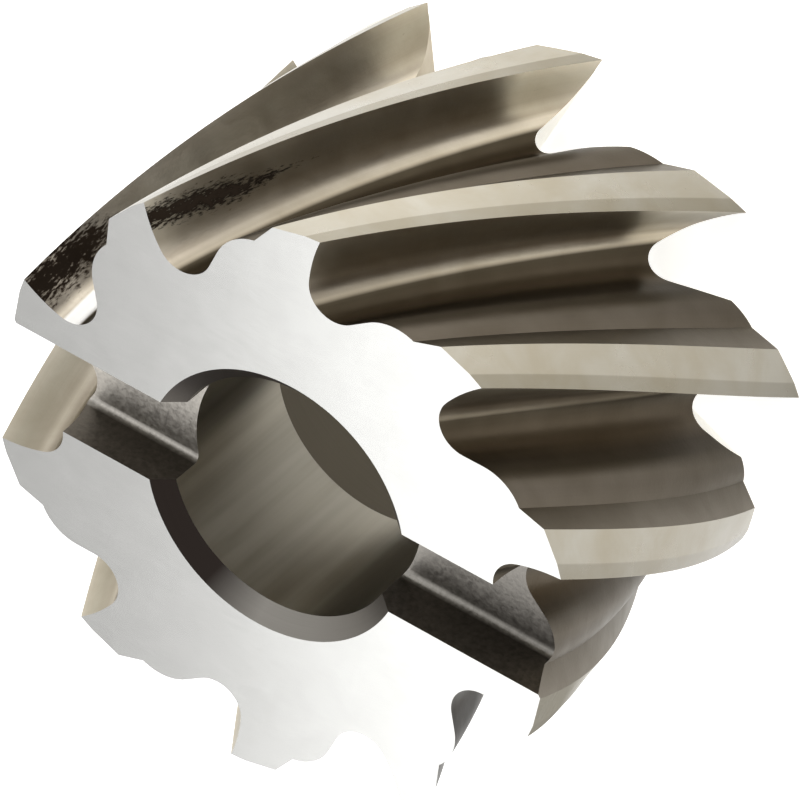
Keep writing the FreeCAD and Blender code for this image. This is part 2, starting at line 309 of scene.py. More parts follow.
def make_slot_tool():
    """The square-bottomed drive slot along X."""
    half = SLOT_WIDTH / 2
    floor = WIDTH - SLOT_DEPTH
    top = WIDTH + RUN_OUT
    left = Vector((-half + SLOT_CORNER, floor + SLOT_CORNER))
    right = Vector((half - SLOT_CORNER, floor + SLOT_CORNER))
    outline = [Vector((-half, top))]
    outline += arc(left, Vector((-half, left.y)), Vector((left.x, floor)), 6)
    outline += [Vector((left.x, floor))]
    outline += arc(right, Vector((right.x, floor)), Vector((half, right.y)), 6)
    outline += [Vector((half, right.y)), Vector((half, top))]
    start = -RADIUS - RUN_OUT
    placing = Matrix(((0, 0, 1, start), (1, 0, 0, 0), (0, 1, 0, 0), (0, 0, 0, 1)))
    return prism("slot_tool", outline, placing, 2 * (RADIUS + RUN_OUT))


def turned(degrees, axis):
    """A turn about one of the main axes."""
    return Matrix.Rotation(math.radians(degrees), 4, axis)


def make_relief_tool():
    """The wedge that grinds the clearance behind one end tooth's edge, as far as the next gash."""
    upright = turned(EDGE_TURN - 90, "Z") @ turned(90 - DISH_ANGLE, "X")
    tip = Vector((RADIUS * cos(TIP_TURN), RADIUS * sin(TIP_TURN), 0))
    placing = Matrix.Translation(tip) @ upright @ turned(-END_RELIEF, "Z") @ turned(90, "X")
    axis = Vector((RADIUS * sin(GASH_RADIAL_RAKE), RADIUS * cos(GASH_RADIAL_RAKE)))
    inside = axis + next_tooth(GASH_RADIUS - axis.x, END_REACH - axis.y)
    outside = axis + next_tooth(GASH_RADIUS - axis.x, -RADIUS / 2 - axis.y)
    outline = [Vector((RUN_OUT, -RADIUS / 2)), Vector((RUN_OUT, END_REACH)), inside, outside]
    return prism("relief_tool", outline, placing, RADIUS * tan(END_RELIEF) + RUN_OUT)


def make_gash_tool():
    """The wheel-shaped notch ahead of one end tooth's edge."""
    root = GASH_DEPTH * cos(GASH_TILT)
    foot = -root - RUN_OUT
    centre_y = root - GASH_RADIUS
    centre = Vector((GASH_RADIUS / cos(GASH_AXIAL_RAKE) - centre_y * tan(GASH_AXIAL_RAKE), centre_y))
    wall_top = centre - GASH_RADIUS * Vector((cos(GASH_AXIAL_RAKE), sin(GASH_AXIAL_RAKE)))
    back_top = centre + GASH_RADIUS * Vector((sin(GASH_BACK_ANGLE), cos(GASH_BACK_ANGLE)))
    back_foot = Vector((back_top.x + (back_top.y - foot) / tan(GASH_BACK_ANGLE), foot))
    outline = [Vector((-foot * tan(GASH_AXIAL_RAKE), foot))]
    outline += arc(centre, wall_top, back_top, 14) + [back_top, back_foot]
    level = RUN_OUT * cos(GASH_TILT)
    place = Vector((
        RADIUS * cos(TIP_TURN) + level * cos(EDGE_TURN),
        RADIUS * sin(TIP_TURN) + level * sin(EDGE_TURN),
        RUN_OUT * sin(GASH_TILT),
    ))
    placing = Matrix.Translation(place) @ turned(EDGE_TURN - 90, "Z") @ turned(90 + GASH_TILT, "X")
    return prism("gash_tool", outline, placing, END_REACH + RUN_OUT)


def tooth_edges():
    """One gap's outline as a chain of edges, for the node tree to repeat and sweep."""
    outline = gap_outline()[0]
    turn = turned(TOOTH_PHASE - 90, "Z")
    spots = [turn @ spot.to_3d() for spot in outline]
    chain = [(i, i + 1) for i in range(len(spots) - 1)]
    return mesh_object("tooth_outline", spots, edges=chain)


class Tree:
    """Adds nodes to a tree and links their inputs by name."""

    def __init__(self, tree):
        self.tree = tree

    def add(self, kind, inputs=None, **settings):
        """One new node. Its inputs are fed by sockets or set to plain values."""
        node = self.tree.nodes.new(kind)
        for key, setting in settings.items():
            setattr(node, key, setting)
        for key, source in (inputs or {}).items():
            socket = node.inputs[key]
            if isinstance(source, bpy.types.NodeSocket):
                self.tree.links.new(source, socket)
            else:
                socket.default_value = source
        return node

    def number(self, operation, *values):
        """The result of a sum on up to three values."""
        return self.add("ShaderNodeMath", dict(enumerate(values)), operation=operation).outputs[0]


def tree_with_inputs(name, kind, inputs, outputs):
    """An empty node group and its named sockets. Inputs are name, kind of socket, first value."""
    tree = bpy.data.node_groups.new(name, kind)
    for title, socket_kind, first in inputs:
        socket = tree.interface.new_socket(title, in_out="INPUT", socket_type=socket_kind)
        if first is not None:
            socket.default_value = first
    for title, socket_kind in outputs:
        tree.interface.new_socket(title, in_out="OUTPUT", socket_type=socket_kind)
    return tree


def fluted_cutter_tree():
    """Repeats the tooth outline, sweeps it along the helix and cuts it with the tools."""
    tree = tree_with_inputs("Fluted cutter", "GeometryNodeTree", [
        ("Geometry", "NodeSocketGeometry", None),
        ("Teeth", "NodeSocketInt", TEETH),
        ("Width", "NodeSocketFloat", WIDTH * MM),
        ("Twist", "NodeSocketFloat", math.radians(TWIST)),
        ("Levels", "NodeSocketInt", LEVELS),
        ("Bore tool", "NodeSocketObject", None),
        ("Slot tool", "NodeSocketObject", None),
        ("Relief tool", "NodeSocketObject", None),
        ("Gash tool", "NodeSocketObject", None),
        ("Material", "NodeSocketMaterial", None),
    ], [("Geometry", "NodeSocketGeometry")])
    make = Tree(tree)
    given = make.add("NodeGroupInput").outputs

    # One turned copy of something for each tooth
    count = make.add("GeometryNodePoints", {"Count": given["Teeth"]})
    index = make.add("GeometryNodeInputIndex")
    share = make.number("DIVIDE", index.outputs[0], given["Teeth"])
    turn = make.add("ShaderNodeCombineXYZ", {"Z": make.number("MULTIPLY", share, 2 * math.pi)})

    def round_the_axis(geometry):
        copies = make.add("GeometryNodeInstanceOnPoints", {
            "Points": count.outputs[0], "Instance": geometry, "Rotation": turn.outputs[0]})
        return copies.outputs[0]

    # The closed section, swept straight up and then twisted
    ring = make.add("GeometryNodeRealizeInstances", {"Geometry": round_the_axis(given["Geometry"])})
    joined = make.add("GeometryNodeMergeByDistance", {"Geometry": ring.outputs[0], "Distance": 1e-6})
    section = make.add("GeometryNodeMeshToCurve", {"Mesh": joined.outputs[0]})
    top = make.add("ShaderNodeCombineXYZ", {"Z": given["Width"]})
    path = make.add("GeometryNodeCurvePrimitiveLine", {"End": top.outputs[0]})
    steps = make.add("GeometryNodeResampleCurve", {"Curve": path.outputs[0], "Count": given["Levels"]})
    swept = make.add("GeometryNodeCurveToMesh", {
        "Curve": steps.outputs[0], "Profile Curve": section.outputs[0], "Fill Caps": True})
    place = make.add("GeometryNodeInputPosition")
    parts = make.add("ShaderNodeSeparateXYZ", {0: place.outputs[0]})
    height = make.number("DIVIDE", parts.outputs["Z"], given["Width"])
    turn_by = make.number("MULTIPLY", make.number("SUBTRACT", height, 1.0), given["Twist"])
    twisted = make.add("ShaderNodeVectorRotate", {"Vector": place.outputs[0], "Angle": turn_by},
                       rotation_type="Z_AXIS")
    helix = make.add("GeometryNodeSetPosition", {
        "Geometry": swept.outputs[0], "Position": twisted.outputs[0]})

    # The cuts, one after another. The slot crosses the bore's hollow, which the exact solver handles.
    solid = helix.outputs[0]
    for name, repeated, solver in (
        ("Bore tool", False, "MANIFOLD"),
        ("Slot tool", False, "EXACT"),
        ("Relief tool", True, "MANIFOLD"),
        ("Gash tool", True, "MANIFOLD"),
    ):
        cutter = make.add("GeometryNodeObjectInfo", {"Object": given[name]}).outputs["Geometry"]
        if repeated:
            cutter = round_the_axis(cutter)
        cut = make.add("GeometryNodeMeshBoolean", {"Mesh 1": solid, "Mesh 2": cutter},
                       operation="DIFFERENCE", solver=solver)
        solid = cut.outputs["Mesh"]
    real = make.add("GeometryNodeRealizeInstances", {"Geometry": solid})
    painted = make.add("GeometryNodeSetMaterial", {
        "Geometry": real.outputs[0], "Material": given["Material"]})
    make.add("NodeGroupOutput", {0: painted.outputs[0]})
    return tree


def made_by_tree(source, tree, values):
    """The plain mesh that a node tree makes from a source object, which it then removes."""
    modifier = source.modifiers.new(tree.name, "NODES")
    modifier.node_group = tree
    for item in tree.interface.items_tree:
        if item.item_type == "SOCKET" and item.in_out == "INPUT" and item.name in values:
            modifier[item.identifier] = values[item.name]
    source.update_tag()
    bpy.context.view_layer.update()
    evaluated = source.evaluated_get(bpy.context.evaluated_depsgraph_get())
    mesh = bpy.data.meshes.new_from_object(evaluated)
    source.modifiers.remove(modifier)
    bpy.data.objects.remove(source)
    return mesh


def read(collection, field, width=0, kind=float):
    """One field of all items of a mesh collection, as an array."""
    values = np.empty(len(collection) * max(width, 1), dtype=kind)
    collection.foreach_get(field, values)
    return values.reshape(-1, width) if width else values


# Kinds of surface, in the order of the piece's materials
FLUTE, LAND, REAR_FACE, BORE, CHAMFER, RECESS, SLOT, END = range(8)


def to_gap(spots, heights, gaps):
    """Unwinds the helix: places seen in the section frame of their own gap between teeth."""
    turn = np.radians(90 - TOOTH_PHASE - (heights - WIDTH) * 360 / LEAD + gaps * PITCH)
    c, s = np.cos(turn), np.sin(turn)
    return np.stack([spots[:, 0] * c - spots[:, 1] * s, spots[:, 0] * s + spots[:, 1] * c], axis=1)


def nearest_stretch(spots, outline):
    """For each place the nearest stretch of the outline, and how far away it is."""
    starts, steps = outline[:-1], np.diff(outline, axis=0)
    away = spots[:, None, :] - starts[None, :, :]
    share = np.clip((away * steps).sum(axis=2) / (steps ** 2).sum(axis=1), 0, 1)
    gap = np.linalg.norm(away - share[:, :, None] * steps, axis=2)
    best = gap.argmin(axis=1)
    return best, gap[np.arange(len(spots)), best]


def sort_faces(mesh):
    """Tells each face's kind of surface, and lays the map: across the gap and along the axis.

    On the turned surfaces the map runs round the axis and along it.
    """
    outline, names = gap_outline()
    outline = np.array([tuple(spot) for spot in outline])
    lengths = np.linalg.norm(np.diff(outline, axis=0), axis=1)
    starts = np.concatenate([[0], np.cumsum(lengths)])

    centres = read(mesh.polygons, "center", 3) / MM
    normals = read(mesh.polygons, "normal", 3)
    heights = centres[:, 2]
    flat = to_gap(centres, heights, np.zeros(len(centres)))
    around = np.floor((90 - np.degrees(np.arctan2(flat[:, 1], flat[:, 0]))) / PITCH)
    stretch = np.zeros(len(centres), dtype=int)
    gaps = np.zeros(len(centres))
    nearest = np.full(len(centres), np.inf)
    for guess in (around, around + 1):
        best, away = nearest_stretch(to_gap(centres, heights, guess), outline)
        closer = away < nearest
        stretch[closer] = best[closer]
        gaps[closer] = guess[closer]
        nearest[closer] = away[closer]

    radius = np.hypot(centres[:, 0], centres[:, 1])
    level = np.abs(normals[:, 2]) > LEVEL_NORMAL
    on_rear = level & (heights > WIDTH - PAST_EDGE)
    on_side = (nearest < OFF_SURFACE) & ~level
    in_slot = np.abs(centres[:, 1]) < SLOT_WIDTH / 2 + PAST_EDGE
    in_slot &= heights > WIDTH - SLOT_DEPTH - PAST_EDGE
    in_bore = (radius < BORE_RADIUS + PAST_EDGE) & ~level
    in_mouth = (radius < BORE_RADIUS + MOUTH_CHAMFER) & (normals[:, 2] > SLOPED_NORMAL)
    in_recess = (radius < RECESS_RADIUS + PAST_EDGE) & (normals[:, 2] < SLOPED_NORMAL)
    is_land = np.array([name in ("primary", "secondary", "margin") for name in names])[stretch]

    kinds = np.full(len(centres), END)
    for chosen, kind in (
        (on_side, FLUTE), (on_side & is_land, LAND), (in_recess, RECESS), (in_bore, BORE),
        (in_mouth, CHAMFER), (on_rear, REAR_FACE), (in_slot & ~on_side, SLOT),
    ):
        kinds[chosen] = kind

    # The map
    owners = np.repeat(np.arange(len(centres)), read(mesh.polygons, "loop_total", kind=np.int32))
    corners = read(mesh.vertices, "co", 3)[read(mesh.loops, "vertex_index", kind=np.int32)] / MM
    spots = to_gap(corners, corners[:, 2], gaps[owners])
    steps = np.diff(outline, axis=0)[stretch[owners]]
    away = spots - outline[stretch[owners]]
    share = np.clip((away * steps).sum(axis=1) / (steps ** 2).sum(axis=1), 0, 1)
    across = (starts[stretch[owners]] + share * lengths[stretch[owners]]) / starts[-1]
    turned_kinds = np.isin(kinds[owners], (REAR_FACE, BORE, CHAMFER, RECESS))
    middle = np.arctan2(centres[:, 1], centres[:, 0])[owners]
    own = np.arctan2(corners[:, 1], corners[:, 0])
    own = middle + (own - middle + np.pi) % (2 * np.pi) - np.pi
    across[turned_kinds] = own[turned_kinds] / (2 * np.pi)
    layer = mesh.uv_layers.new(name="across_and_along")
    layer.data.foreach_set("uv", np.stack([across, corners[:, 2] / WIDTH], axis=1).ravel())
    bounds = {name: starts[names.index(name)] / starts[-1] for name in dict.fromkeys(names)}
    return kinds, np.array(names)[stretch], bounds


def mark_edges(mesh, kinds, stretches):
    """Smooth shading with a crisp edge where two grinds or cuts meet."""
    smooth_run = {"rake": 0, "gullet": 0, "ramp": 0, "shoulder": 0, "step": 1, "secondary": 2,
                  "primary": 3, "margin": 4}
    group = np.array([smooth_run[name] for name in stretches])
    group = np.where(np.isin(kinds, (FLUTE, LAND)), group, 10 + kinds)
    normals = read(mesh.polygons, "normal", 3)
    owners = np.repeat(np.arange(len(kinds)), read(mesh.polygons, "loop_total", kind=np.int32))
    edges = read(mesh.loops, "edge_index", kind=np.int32)
    order = np.argsort(edges, kind="stable")
    first, second = owners[order].reshape(-1, 2).T
    steep = (normals[first] * normals[second]).sum(axis=1) < cos(CREASE)
    sharp = np.zeros(len(mesh.edges), dtype=bool)
    sharp[edges[order].reshape(-1, 2)[:, 0]] = steep | (group[first] != group[second])
    mark = mesh.attributes.get("sharp_edge") or mesh.attributes.new("sharp_edge", "BOOLEAN", "EDGE")
    mark.data.foreach_set("value", sharp)
    mesh.polygons.foreach_set("use_smooth", np.ones(len(kinds), dtype=bool))


# Shader groups

def grinding_lines_group():
    """Fine lines that run along one direction of the given coordinates, from 0 to 1."""
    tree = tree_with_inputs("Grinding lines", "ShaderNodeTree", [
        ("Vector", "NodeSocketVector", None),
        ("Across", "NodeSocketVector", (1, 1, 1)),
        ("Depth", "NodeSocketFloat", 1.0),
    ], [("Lines", "NodeSocketFloat")])
    make = Tree(tree)
    given = make.add("NodeGroupInput").outputs
    scaled = make.add("ShaderNodeVectorMath", {0: given["Vector"], 1: given["Across"]},
                      operation="MULTIPLY")
    fine = make.add("ShaderNodeTexNoise", {
        "Vector": scaled.outputs[0], "Scale": 1.0, "Detail": 3.0, "Roughness": 0.65})
    lines = make.number("MULTIPLY_ADD", make.number("SUBTRACT", fine.outputs[0], 0.5), given["Depth"], 0.5)
    make.add("NodeGroupOutput", {0: lines})
    return tree


def cloudiness_group():
    """Soft uneven patches, from 0 to 1."""
    tree = tree_with_inputs("Cloudiness", "ShaderNodeTree", [
        ("Vector", "NodeSocketVector", None),
        ("Size", "NodeSocketFloat", 0.004),
        ("Contrast", "NodeSocketFloat", 1.0),
    ], [("Patches", "NodeSocketFloat")])
    make = Tree(tree)
    given = make.add("NodeGroupInput").outputs
    scale = make.number("DIVIDE", 1.0, given["Size"])
    noise = make.add("ShaderNodeTexNoise", {
        "Vector": given["Vector"], "Scale": scale, "Detail": 4.0, "Roughness": 0.55, "Distortion": 0.4})
    centred = make.number("SUBTRACT", noise.outputs[0], 0.5)
    spread = make.number("MULTIPLY_ADD", centred, given["Contrast"], 0.5)
    clipped = make.add("ShaderNodeClamp", {"Value": spread})
    make.add("NodeGroupOutput", {0: clipped.outputs[0]})
    return tree


def unwound_turn_group():
    """The angle round the axis, in radians, of the place that a helix comes from at the rear face."""
    tree = tree_with_inputs("Unwound turn", "ShaderNodeTree", [
        ("Vector", "NodeSocketVector", None),
    ], [("Turn", "NodeSocketFloat")])
    make = Tree(tree)
    given = make.add("NodeGroupInput").outputs
    parts = make.add("ShaderNodeSeparateXYZ", {0: given["Vector"]})
    angle = make.number("ARCTAN2", parts.outputs["Y"], parts.outputs["X"])
    below = make.number("SUBTRACT", parts.outputs["Z"], WIDTH * MM)
    twist = make.number("MULTIPLY", below, 2 * math.pi / (LEAD * MM))
    make.add("NodeGroupOutput", {0: make.number("SUBTRACT", angle, twist)})
    return tree


# The shared shader groups, by short names, filled when the cutter is made
GROUPS = {}


class Finish:
    """One metal finish: a Principled shader and what feeds it."""

    def __init__(self, name, roughness):
        self.material = bpy.data.materials.new(name)
        self.material.use_nodes = True
        self.tree = self.material.node_tree
        self.tree.nodes.clear()
        self.make = Tree(self.tree)
        self.number = self.make.number
        self.shader = self.make.add("ShaderNodeBsdfPrincipled")
        self.shader.inputs["Metallic"].default_value = 1.0
        self.shader.inputs["Roughness"].default_value = roughness
        self.make.add("ShaderNodeOutputMaterial", {"Surface": self.shader.outputs[0]})
        self.coordinates = self.make.add("ShaderNodeTexCoord")
        self.place = self.coordinates.outputs["Object"]
        self.map = self.coordinates.outputs["UV"]
        split = self.make.add("ShaderNodeSeparateXYZ", {0: self.map})
        self.across, self.along = split.outputs["X"], split.outputs["Y"]

    def link(self, source, socket):
        """Feeds a socket from another socket, a colour or a number."""
        if isinstance(source, bpy.types.NodeSocket):
            self.tree.links.new(source, socket)
        elif isinstance(source, tuple) and socket.type == "RGBA":
            socket.default_value = source + (1,)
        else:
            socket.default_value = source

    def group(self, name, inputs):
        """The result of one of the shared shader groups."""
        node = self.make.add("ShaderNodeGroup", node_tree=GROUPS[name])
        for key, source in inputs.items():
            self.link(source, node.inputs[key])
        return node.outputs[0]

    def lines(self, vector, across, depth=1.0):
        """Fine lines, with so many to the unit in each direction."""
        return self.group("lines", {"Vector": vector, "Across": across, "Depth": depth})

    def patches(self, size, contrast=1.0):
        """Soft uneven patches of about this size, in metres."""
        return self.group("patches", {"Vector": self.place, "Size": size, "Contrast": contrast})

    def mix(self, share, first, second, blend="MIX"):
        """A colour between two, by a share from 0 to 1."""
        node = self.make.add("ShaderNodeMix", data_type="RGBA", blend_type=blend)
        self.link(share, node.inputs[0])
        self.link(first, node.inputs[6])
        self.link(second, node.inputs[7])
        return node.outputs[2]

    def times(self, shade, factor, share=1.0):
        """A colour multiplied by another, as far as the share says."""
        product = self.mix(1.0, shade, factor, "MULTIPLY")
        return self.mix(share, shade, product)

    def ramp(self, source, stops):
        """Colours or greys at places from 0 to 1."""
        node = self.make.add("ShaderNodeValToRGB", {0: source})
        elements = node.color_ramp.elements
        for index, (place, shade) in enumerate(stops):
            stop = elements[index] if index < 2 else elements.new(place)
            stop.position = place
            stop.color = (shade if isinstance(shade, tuple) else (shade,) * 3) + (1,)
        return node.outputs[0]

    def rescaled(self, value, start, end, first, last):
        """A value that runs from first to last while the given one runs from start to end."""
        node = self.make.add("ShaderNodeMapRange", {
            "Value": value, "From Min": start, "From Max": end, "To Min": first, "To Max": last})
        return node.outputs[0]

    def off(self, value, middle):
        """How far a value is from a middle."""
        return self.number("ABSOLUTE", self.number("SUBTRACT", value, middle))

    def band(self, value, middle, half, soft):
        """One within a band of values, falling to nothing over a soft edge outside it."""
        return self.rescaled(self.off(value, middle), half, half + soft, 1.0, 0.0)

    def depth(self):
        """Millimetres below the rear face."""
        return self.number("MULTIPLY", self.number("SUBTRACT", 1.0, self.along), WIDTH)

    def near_turn(self, turn, half):
        """One within so many degrees of a turn round the axis, along the helix, and else nothing."""
        unwound = self.group("unwound", {"Vector": self.place})
        return self.number("COMPARE", unwound, math.radians(turn), math.radians(half))

    def colour(self, source):
        """Sets the metal's colour."""
        self.link(source, self.shader.inputs["Base Color"])

    def rough(self, source):
        """Sets how rough the surface is."""
        self.link(source, self.shader.inputs["Roughness"])

    def metal(self, source):
        """Sets how far the surface is bare metal."""
        self.link(source, self.shader.inputs["Metallic"])

    def bump(self, height, distance, strength=1.0):
        """Raises the surface by a height times a distance in metres."""
        node = self.make.add("ShaderNodeBump", {
            "Height": height, "Distance": distance, "Strength": strength})
        self.link(node.outputs[0], self.shader.inputs["Normal"])


def stains(finish):
    """Where the hooked faces of two teeth are stained black, near the rear face: from 0 to 1."""
    number = finish.number
    depth = finish.depth()
    ragged = finish.lines(finish.map, (110.0, 50.0, 1.0), 3.0)
    total = 0.0
    for turn, middle, drift, half, start, end in STAINS:
        drifted = number("MULTIPLY_ADD", number("MINIMUM", depth, STAIN_DRIFT_DEPTH), drift, middle)
        inside = number("SUBTRACT", 1.0, number("DIVIDE", finish.off(finish.across, drifted), half))
        faded = finish.rescaled(depth, start, end, 0.0, 1.4)
        missing = number("SUBTRACT", 1.0, ragged)
        strength = number("SUBTRACT", number("SUBTRACT", inside, faded), missing)
        edge = finish.rescaled(strength, -0.42, 0.30, 0.0, 1.0)
        here = number("MULTIPLY", edge, finish.near_turn(turn, TOOTH_HALF))
        total = number("MAXIMUM", total, here)
    return total


def film(finish):
    """The brown film round the wider stain, deepest near the rear face: from 0 to 1."""
    spread = finish.band(finish.across, FILM_MIDDLE, FILM_HALF, FILM_EDGE)
    reach = finish.band(finish.depth(), 0.0, FILM_DEPTH, FILM_FADE)
    return finish.number("MULTIPLY", finish.near_turn(FILM_TURN, TOOTH_HALF),
                         finish.number("MULTIPLY", spread, reach))


def painted_glint(finish):
    """Where a white highlight is painted in the gullet beside the wider stain: from 0 to 1."""
    spread = finish.band(finish.across, PAINTED_GLINT_MIDDLE, PAINTED_GLINT_HALF, PAINTED_GLINT_EDGE)
    reach = finish.band(finish.depth(), 0.0, PAINTED_GLINT_DEPTH, PAINTED_GLINT_FADE)
    return finish.number("MULTIPLY", finish.near_turn(FILM_TURN, TOOTH_HALF),
                         finish.number("MULTIPLY", spread, reach))


def painted_shadow(finish, turn, half):
    """Where shadow is painted on one tooth, or in the gap ahead of it, near the rear face: from 0 to 1."""
    reach = finish.band(finish.depth(), 0.0, SHADOWED_DEPTH, SHADOWED_FADE)
    return finish.number("MULTIPLY", finish.near_turn(turn, half), reach)


def flute_finish(bounds):
    """Milled flutes, dark in the gullet, with painted highlights along the gullet and at the cutting edge.
    """
    finish = Finish("milled_flute", 0.34)
    number = finish.number

    # From the cutting edge down the hooked face, through the gullet and up to the next tooth's heel
    # The light stops are painted highlights: a glint at the cutting edge (0 to 0.03) and a line along the
    # gullet (0.19 to 0.264)
    shade = finish.ramp(finish.across, [
        (0.0, (0.60, 0.55, 0.455)),
        (0.03, (0.50, 0.455, 0.37)),
        (0.055, (0.44, 0.405, 0.325)),
        (0.10, (0.38, 0.345, 0.272)),
        (0.15, (0.375, 0.335, 0.265)),
        (0.19, (0.53, 0.48, 0.395)),
        (0.212, (0.51, 0.455, 0.37)),
        (0.232, (0.77, 0.695, 0.57)),
        (0.256, (0.66, 0.59, 0.465)),
        (0.264, (0.44, 0.385, 0.295)),
        (0.276, (0.054, 0.044, 0.029)),
        (0.31, (0.057, 0.045, 0.030)),
        (0.34, (0.076, 0.060, 0.041)),
        (0.42, (0.118, 0.094, 0.068)),
        (0.48, (0.060, 0.048, 0.036)),
        (0.53, (0.064, 0.053, 0.040)),
        (0.59, (0.108, 0.092, 0.072)),
        (0.63, (0.098, 0.083, 0.065)),
        (bounds["step"], (0.104, 0.088, 0.068)),
        (bounds["step"] + 0.01, (0.112, 0.097, 0.076)),
        (bounds["secondary"] - 0.01, (0.165, 0.145, 0.118)),
    ])

    # Film and stains. The stains' thick middle loses the metal's shine.
    stained = stains(finish)
    darkened = number("MINIMUM", number("MULTIPLY", stained, 1.6), 1.0)
    crusted = number("MAXIMUM", number("MULTIPLY_ADD", stained, 2.0, -1.0), 0.0)
    shade = finish.mix(number("MULTIPLY", film(finish), 0.88), shade, FILM_COLOUR)
    shade = finish.mix(darkened, shade, STAIN_COLOUR)

    # The painted highlight line dims towards the rear face
    on_highlight_line = finish.rescaled(finish.off(finish.across, PAINTED_HIGHLIGHT_LINE), 0.055, 0.015, 0.0, 0.65)
    shade = finish.mix(number("MULTIPLY", on_highlight_line, finish.along), shade, (0.12, 0.098, 0.07))
    # Painted highlight: a white glint in one gullet near the rear face
    shade = finish.mix(painted_glint(finish), shade, PAINTED_GLINT_COLOUR)
    # Painted shadow in the gap ahead of one tooth: darker and less metallic
    shadowed = painted_shadow(finish, SHADOWED_GAP_TURN, SHADOWED_GAP_HALF)
    shade = finish.mix(number("MULTIPLY", shadowed, 0.7), shade, (0.020, 0.018, 0.014))

    # Milling lines and soft patches
    drawn = finish.lines(finish.map, (420.0, 3.0, 1.0), 0.7)
    shade = finish.times(shade, drawn, 0.22)
    shade = finish.times(shade, (0.8, 0.78, 0.74), finish.patches(0.006, 2.2))
    finish.colour(shade)
    plain = number("MULTIPLY_ADD", finish.patches(0.003, 1.5), 0.12, 0.29)
    finish.rough(number("MULTIPLY_ADD", crusted, 0.5, plain))
    # Less metal where the stains are thick and where shadow is painted
    finish.metal(number("MULTIPLY_ADD", number("MAXIMUM", crusted, shadowed), -0.9, 1.0))
    finish.shader.inputs["Specular IOR Level"].default_value = 0.02
    finish.shader.inputs["Specular Tint"].default_value = (0.72, 0.71, 0.69, 1)
    finish.bump(finish.patches(0.0004, 2.0), 0.00001, 0.5)
    return finish.material


def land_finish(bounds):
    """Ground lands: the narrow band at the cutting edge is ground a little darker."""
    finish = Finish("ground_land", 0.28)
    shade = finish.ramp(finish.across, [
        (bounds["secondary"], (0.34, 0.32, 0.272)),
        (bounds["primary"] - 0.002, (0.325, 0.305, 0.258)),
        (bounds["primary"] + 0.002, (0.245, 0.228, 0.186)),
        (1.0, (0.236, 0.219, 0.179)),
    ])
    shade = finish.times(shade, finish.lines(finish.map, (500.0, 4.0, 1.0), 0.8), 0.10)
    shade = finish.times(shade, (0.86, 0.82, 0.74), finish.patches(0.007, 3.0))
    # Painted shadow on one tooth's land near the rear face: darker and less metallic
    shadowed = painted_shadow(finish, SHADOWED_TOOTH_TURN, TOOTH_HALF)
    shade = finish.mix(finish.number("MULTIPLY", shadowed, 0.7), shade, (0.17, 0.16, 0.13))
    finish.colour(shade)
    finish.metal(finish.number("MULTIPLY_ADD", shadowed, -0.9, 1.0))
    finish.shader.inputs["Specular IOR Level"].default_value = 0.0
    finish.rough(finish.number("MULTIPLY_ADD", finish.patches(0.005, 1.5), 0.10, 0.24))
    finish.bump(finish.patches(0.0004, 2.0), 0.000006, 0.5)
    return finish.material


def rear_face_finish():
    """The flat ground rear face: faint grinding marks and soft patches."""
    finish = Finish("ground_rear_face", 0.3)
    drawn = finish.lines(finish.place, (300.0, 1800.0, 1.0), 0.8)
    shade = finish.mix(finish.patches(0.004, 1.6), (0.405, 0.405, 0.395), (0.44, 0.44, 0.43))
    finish.colour(finish.times(shade, drawn, 0.08))
    finish.rough(finish.number("MULTIPLY_ADD", drawn, 0.015, 0.212))
    finish.bump(drawn, 0.0000006, 0.12)
    return finish.material


def bore_finish():
    """The ground bore, streaked along the axis, with painted light and shade in bands round it."""
    finish = Finish("ground_bore", 0.3)
    streaks = finish.lines(finish.place, (420.0, 420.0, 22.0), 1.8)
    shade = finish.mix(streaks, (0.46, 0.425, 0.35), (0.67, 0.635, 0.55))
    # Painted light and shade: brighter and darker bands round the bore
    painted_light_round_bore = finish.ramp(finish.number("FRACT", finish.across), [
        (0.0, 0.67),
        (0.46, 0.67),
        (0.505, 0.32),
        (0.53, 0.50),
        (0.553, 0.95),
        (0.575, 1.0),
        (0.60, 0.82),
        (0.66, 0.78),
        (0.72, 0.82),
        (0.765, 1.0),
        (0.79, 0.95),
        (0.817, 0.55),
        (0.85, 0.40),
        (0.90, 0.40),
        (1.0, 0.67),
    ])
    finish.colour(finish.mix(1.0, shade, painted_light_round_bore, "MULTIPLY"))
    finish.rough(finish.number("MULTIPLY_ADD", streaks, 0.10, 0.26))
    finish.bump(streaks, 0.000002, 0.4)
    return finish.material


def chamfer_finish():
    """The turned chamfer at the bore's mouth, with painted light and shade round the ring, darkest along
    one part.
    """
    finish = Finish("turned_chamfer", 0.34)
    drawn = finish.lines(finish.map, (6.0, 900.0, 1.0), 0.8)
    # Painted light and shade round the ring: a dark stretch from 0.54 to 0.68 and a light one from 0.75 to
    # 0.82
    shade = finish.ramp(finish.number("FRACT", finish.across), [
        (0.0, (0.20, 0.185, 0.165)),
        (0.30, (0.10, 0.085, 0.078)),
        (0.40, (0.12, 0.105, 0.095)),
        (0.46, (0.19, 0.175, 0.155)),
        (0.54, (0.030, 0.023, 0.020)),
        (0.68, (0.032, 0.025, 0.022)),
        (0.75, (0.30, 0.285, 0.26)),
        (0.82, (0.28, 0.265, 0.24)),
        (0.92, (0.19, 0.175, 0.155)),
        (1.0, (0.12, 0.105, 0.09)),
    ])
    finish.colour(finish.times(shade, drawn, 0.25))
    return finish.material


def recess_finish():
    """The turned counterbore, dark and even."""
    finish = Finish("turned_counterbore", 0.4)
    drawn = finish.lines(finish.map, (6.0, 260.0, 1.0), 0.8)
    finish.colour(finish.mix(drawn, (0.12, 0.104, 0.077), (0.152, 0.132, 0.10)))
    return finish.material


